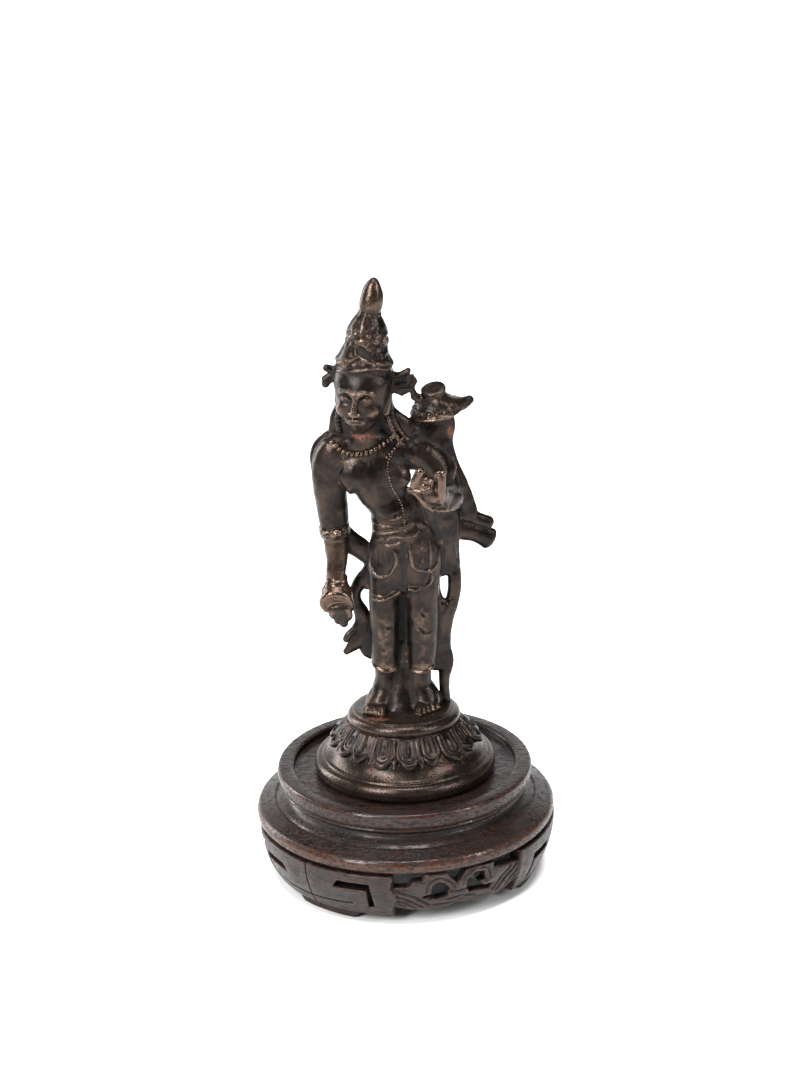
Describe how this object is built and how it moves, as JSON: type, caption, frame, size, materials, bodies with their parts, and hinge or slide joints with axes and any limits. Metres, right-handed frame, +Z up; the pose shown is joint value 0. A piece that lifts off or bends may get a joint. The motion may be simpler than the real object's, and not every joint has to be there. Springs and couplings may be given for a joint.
{
  "type": "tara figure",
  "caption": "Small cast bronze standing tara on a round lotus base, one hand lowered and one raised beside a lotus bloom, set in a turned and pierced hardwood stand.",
  "frame": {"origin": "on the floor under the middle of the round stand", "axes": "+Z up through the figure, the figure faces -Y, +X to the figure's left (the viewer's right)"},
  "size_m": [0.076, 0.076, 0.1575],
  "materials": {
    "bronze": "dark brown to black patina on cast bronze, rubbed to pinkish gold on raised parts",
    "top_wood": "dark red-brown lacquered hardwood, glossy, worn orange on the edges",
    "apron_wood": "dark grey-brown lacquered hardwood with black pores, satin"
  },
  "bodies": {
    "root": {"bronze_figure": "bronze", "stand_top": "top_wood", "stand_apron_a": "apron_wood", "stand_apron_b": "apron_wood", "stand_apron_c": "apron_wood"}
  },
  "joints": []
}
